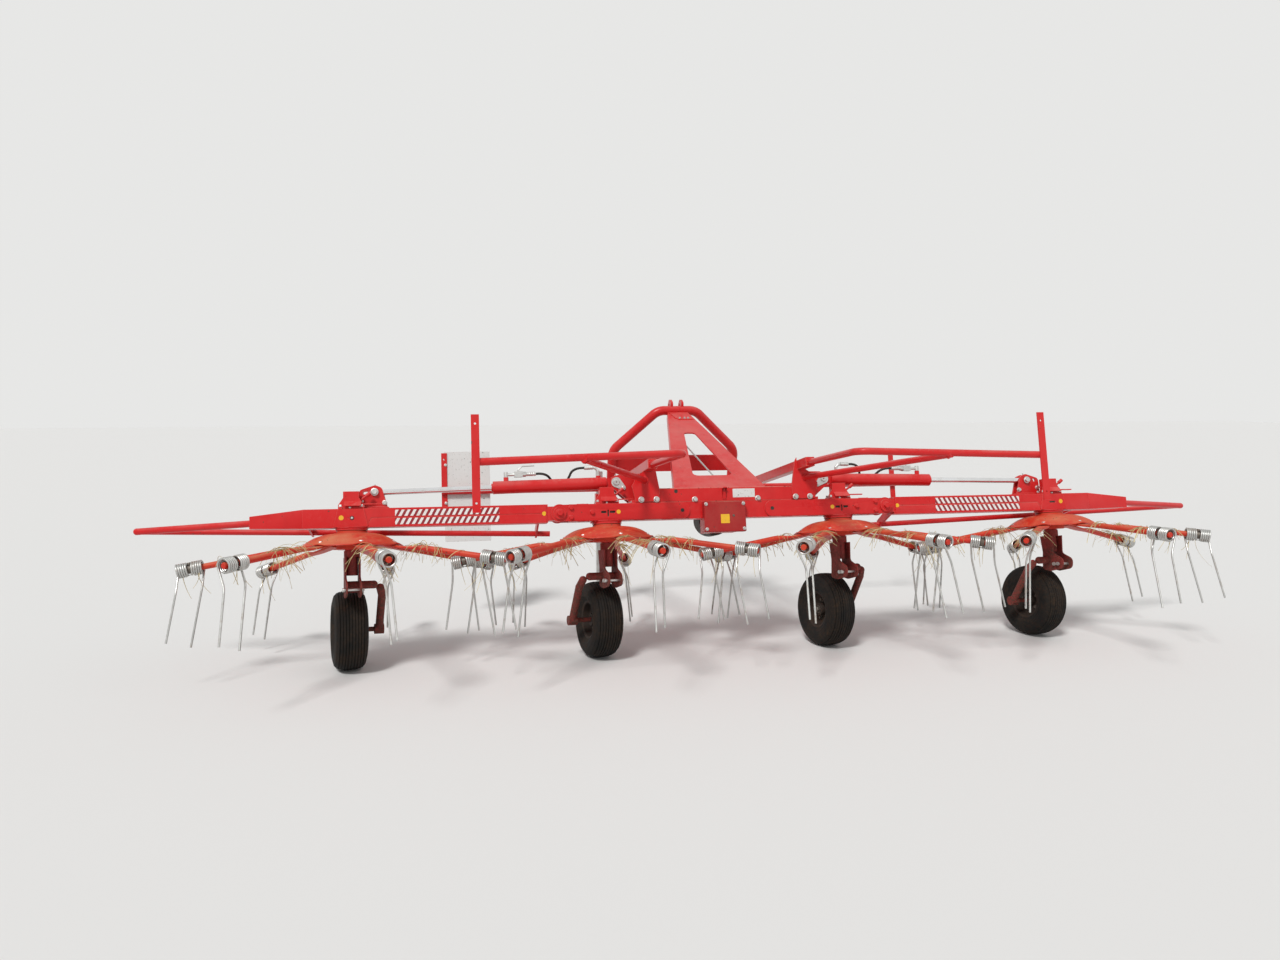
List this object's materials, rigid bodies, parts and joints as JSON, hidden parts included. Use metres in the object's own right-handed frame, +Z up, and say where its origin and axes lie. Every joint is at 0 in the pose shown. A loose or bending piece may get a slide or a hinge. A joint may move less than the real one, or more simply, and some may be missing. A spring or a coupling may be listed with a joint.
{
  "type": "hay tedder",
  "caption": "Mounted hay tedder with a folding beam over tined rotors on ground wheels, folding cylinders, tube guards and a headstock with lower pins, top link lugs and input stub.",
  "frame": {"origin": "on the floor at the bottom centre of the machine's box", "axes": "+X to the machine's right along the beam, +Y forward to the headstock, +Z up"},
  "size_m": [6.0808, 2.3621, 1.3792],
  "materials": {
    "red_paint": "bright red gloss paint with dust and small chips",
    "cover_paint": "dark red satin paint",
    "guard_plastic": "black moulded plastic, dusty",
    "panel_paint": "light grey sheet, scratched",
    "disc_paint": "orange red paint, faded and dusty",
    "tine_steel": "bare spring steel wire, worn bright at the tips",
    "rim_paint": "black paint under dry mud",
    "tyre_rubber": "black ribbed rubber with dry mud",
    "zinc_steel": "zinc plated steel, dull",
    "hose_rubber": "black rubber hose",
    "rod_chrome": "hard chrome, polished",
    "cap_plastic": "yellow plastic caps and blank stickers",
    "stripe_film": "white slanted stripes on a dark red film",
    "dry_hay": "dry stalks caught on the tines"
  },
  "bodies": {
    "frame": {"centre_beam": "red_paint", "upper_channel": "red_paint", "gearbox": "red_paint", "gearbox_cover": "cover_paint", "shaft_guard": "guard_plastic", "tower": "red_paint", "hitch_bow": "red_paint", "rail_left": "red_paint", "rail_right": "red_paint", "rear_guard_left": "red_paint", "rear_guard_right": "red_paint", "front_guard_left": "red_paint", "front_guard_right": "red_paint", "warning_panel": "panel_paint", "cylinder_bracket_left": "red_paint", "cylinder_bracket_right": "red_paint", "turn_lock_2": "red_paint", "turn_lock_3": "red_paint", "gear_housing_2": "red_paint", "gear_housing_3": "red_paint"},
    "wing_left": {"turn_lock_1": "red_paint", "gear_housing_1": "red_paint", "wing_beam_left": "red_paint", "side_guard_left": "red_paint", "rod_lugs_left": "red_paint"},
    "wing_right": {"turn_lock_4": "red_paint", "gear_housing_4": "red_paint", "wing_beam_right": "red_paint", "side_guard_right": "red_paint", "rod_lugs_right": "red_paint"},
    "rotor_1": {"rotor_disc_1": "disc_paint", "tines_1": "tine_steel"},
    "rotor_2": {"rotor_disc_2": "disc_paint", "tines_2": "tine_steel"},
    "rotor_3": {"rotor_disc_3": "disc_paint", "tines_3": "tine_steel"},
    "rotor_4": {"rotor_disc_4": "disc_paint", "tines_4": "tine_steel"},
    "leg_1": {"leg_1": "red_paint"},
    "leg_2": {"leg_2": "red_paint"},
    "leg_3": {"leg_3": "red_paint"},
    "leg_4": {"leg_4": "red_paint"},
    "wheel_1": {"rim_1": "rim_paint", "tyre_1": "tyre_rubber"},
    "wheel_2": {"rim_2": "rim_paint", "tyre_2": "tyre_rubber"},
    "wheel_3": {"rim_3": "rim_paint", "tyre_3": "tyre_rubber"},
    "wheel_4": {"rim_4": "rim_paint", "tyre_4": "tyre_rubber"},
    "barrel_left": {"barrel_left": "red_paint", "valve_left": "zinc_steel", "hose_left": "hose_rubber"},
    "barrel_right": {"barrel_right": "red_paint", "valve_right": "zinc_steel", "hose_right": "hose_rubber"},
    "rod_left": {"piston_rod_left": "rod_chrome"},
    "rod_right": {"piston_rod_right": "rod_chrome"},
    "input_shaft": {"input_shaft": "zinc_steel"},
    "stand": {"parking_stand": "zinc_steel"}
  },
  "joints": [
    {"name": "wing_left_fold", "type": "hinge", "parent": "frame", "child": "wing_left", "pos_m": [-0.905, -0.23876, 0.78755], "axis": [0, 0.9799, -0.1994], "range_deg": [-8, 90]},
    {"name": "barrel_left_swing", "type": "hinge", "parent": "frame", "child": "barrel_left", "pos_m": [-0.587, -0.14707, 0.93728], "axis": [0, 0.9799, -0.1994], "range_deg": [-6.95, 78.2]},
    {"name": "rod_left_slide", "type": "slide", "parent": "barrel_left", "child": "rod_left", "axis": [-0.9998, -0.0045, -0.0219], "range_m": [-0.4625, 0.0415]},
    {"name": "wing_right_fold", "type": "hinge", "parent": "frame", "child": "wing_right", "pos_m": [0.905, -0.23876, 0.78755], "axis": [0, -0.9799, 0.1994], "range_deg": [-8, 90]},
    {"name": "barrel_right_swing", "type": "hinge", "parent": "frame", "child": "barrel_right", "pos_m": [0.587, -0.14707, 0.93728], "axis": [0, -0.9799, 0.1994], "range_deg": [-6.95, 78.2]},
    {"name": "rod_right_slide", "type": "slide", "parent": "barrel_right", "child": "rod_right", "axis": [0.9998, -0.0045, -0.0219], "range_m": [-0.4625, 0.0415]},
    {"name": "rotor_3_spin", "type": "hinge", "parent": "frame", "child": "rotor_3", "pos_m": [0.65, -0.26567, 0.65526], "axis": [0, 0.1994, 0.9799], "continuous": true},
    {"name": "rotor_1_spin", "type": "hinge", "parent": "wing_left", "child": "rotor_1", "pos_m": [-1.95, -0.26567, 0.65526], "axis": [0, 0.1994, 0.9799], "continuous": true},
    {"name": "rotor_2_spin", "type": "hinge", "parent": "frame", "child": "rotor_2", "pos_m": [-0.65, -0.26567, 0.65526], "axis": [0, 0.1994, 0.9799], "continuous": true},
    {"name": "rotor_4_spin", "type": "hinge", "parent": "wing_right", "child": "rotor_4", "pos_m": [1.95, -0.26567, 0.65526], "axis": [0, 0.1994, 0.9799], "continuous": true},
    {"name": "input_shaft_spin", "type": "hinge", "parent": "frame", "child": "input_shaft", "pos_m": [0, -0.00076, 0.70341], "axis": [0, 0.9799, -0.1994], "continuous": true},
    {"name": "leg_1_turn", "type": "hinge", "parent": "wing_left", "child": "leg_1", "pos_m": [-1.95, -0.27764, 0.59647], "axis": [0, 0.1994, 0.9799], "range_deg": [-31, 9]},
    {"name": "wheel_1_spin", "type": "hinge", "parent": "leg_1", "child": "wheel_1", "pos_m": [-1.98415, -0.17842, 0.20278], "axis": [0.9816, 0.187, -0.038], "continuous": true},
    {"name": "leg_2_turn", "type": "hinge", "parent": "frame", "child": "leg_2", "pos_m": [-0.65, -0.27764, 0.59647], "axis": [0, 0.1994, 0.9799], "range_deg": [-31, 9]},
    {"name": "wheel_2_spin", "type": "hinge", "parent": "leg_2", "child": "wheel_2", "pos_m": [-0.68415, -0.17842, 0.20278], "axis": [0.9816, 0.187, -0.038], "continuous": true},
    {"name": "leg_3_turn", "type": "hinge", "parent": "frame", "child": "leg_3", "pos_m": [0.65, -0.27764, 0.59647], "axis": [0, 0.1994, 0.9799], "range_deg": [-31, 9]},
    {"name": "wheel_3_spin", "type": "hinge", "parent": "leg_3", "child": "wheel_3", "pos_m": [0.61584, -0.17842, 0.20278], "axis": [0.9816, 0.187, -0.038], "continuous": true},
    {"name": "leg_4_turn", "type": "hinge", "parent": "wing_right", "child": "leg_4", "pos_m": [1.95, -0.27764, 0.59647], "axis": [0, 0.1994, 0.9799], "range_deg": [-31, 9]},
    {"name": "wheel_4_spin", "type": "hinge", "parent": "leg_4", "child": "wheel_4", "pos_m": [1.91585, -0.17842, 0.20278], "axis": [0.9816, 0.187, -0.038], "continuous": true},
    {"name": "stand_slide", "type": "slide", "parent": "frame", "child": "stand", "axis": [0, 0, 1], "range_m": [0, 0.3]}
  ],
  "couplings": [
    {"joint": "barrel_left_swing", "follows": "wing_left_fold", "ratio": 0.868},
    {"joint": "rod_left_slide", "follows": "wing_left_fold", "m_per_rad": -0.2943},
    {"joint": "barrel_right_swing", "follows": "wing_right_fold", "ratio": 0.868},
    {"joint": "rod_right_slide", "follows": "wing_right_fold", "m_per_rad": -0.2943},
    {"joint": "rotor_1_spin", "follows": "rotor_3_spin", "ratio": 1},
    {"joint": "rotor_2_spin", "follows": "rotor_3_spin", "ratio": -1},
    {"joint": "rotor_4_spin", "follows": "rotor_3_spin", "ratio": -1},
    {"joint": "input_shaft_spin", "follows": "rotor_3_spin", "ratio": 3}
  ]
}
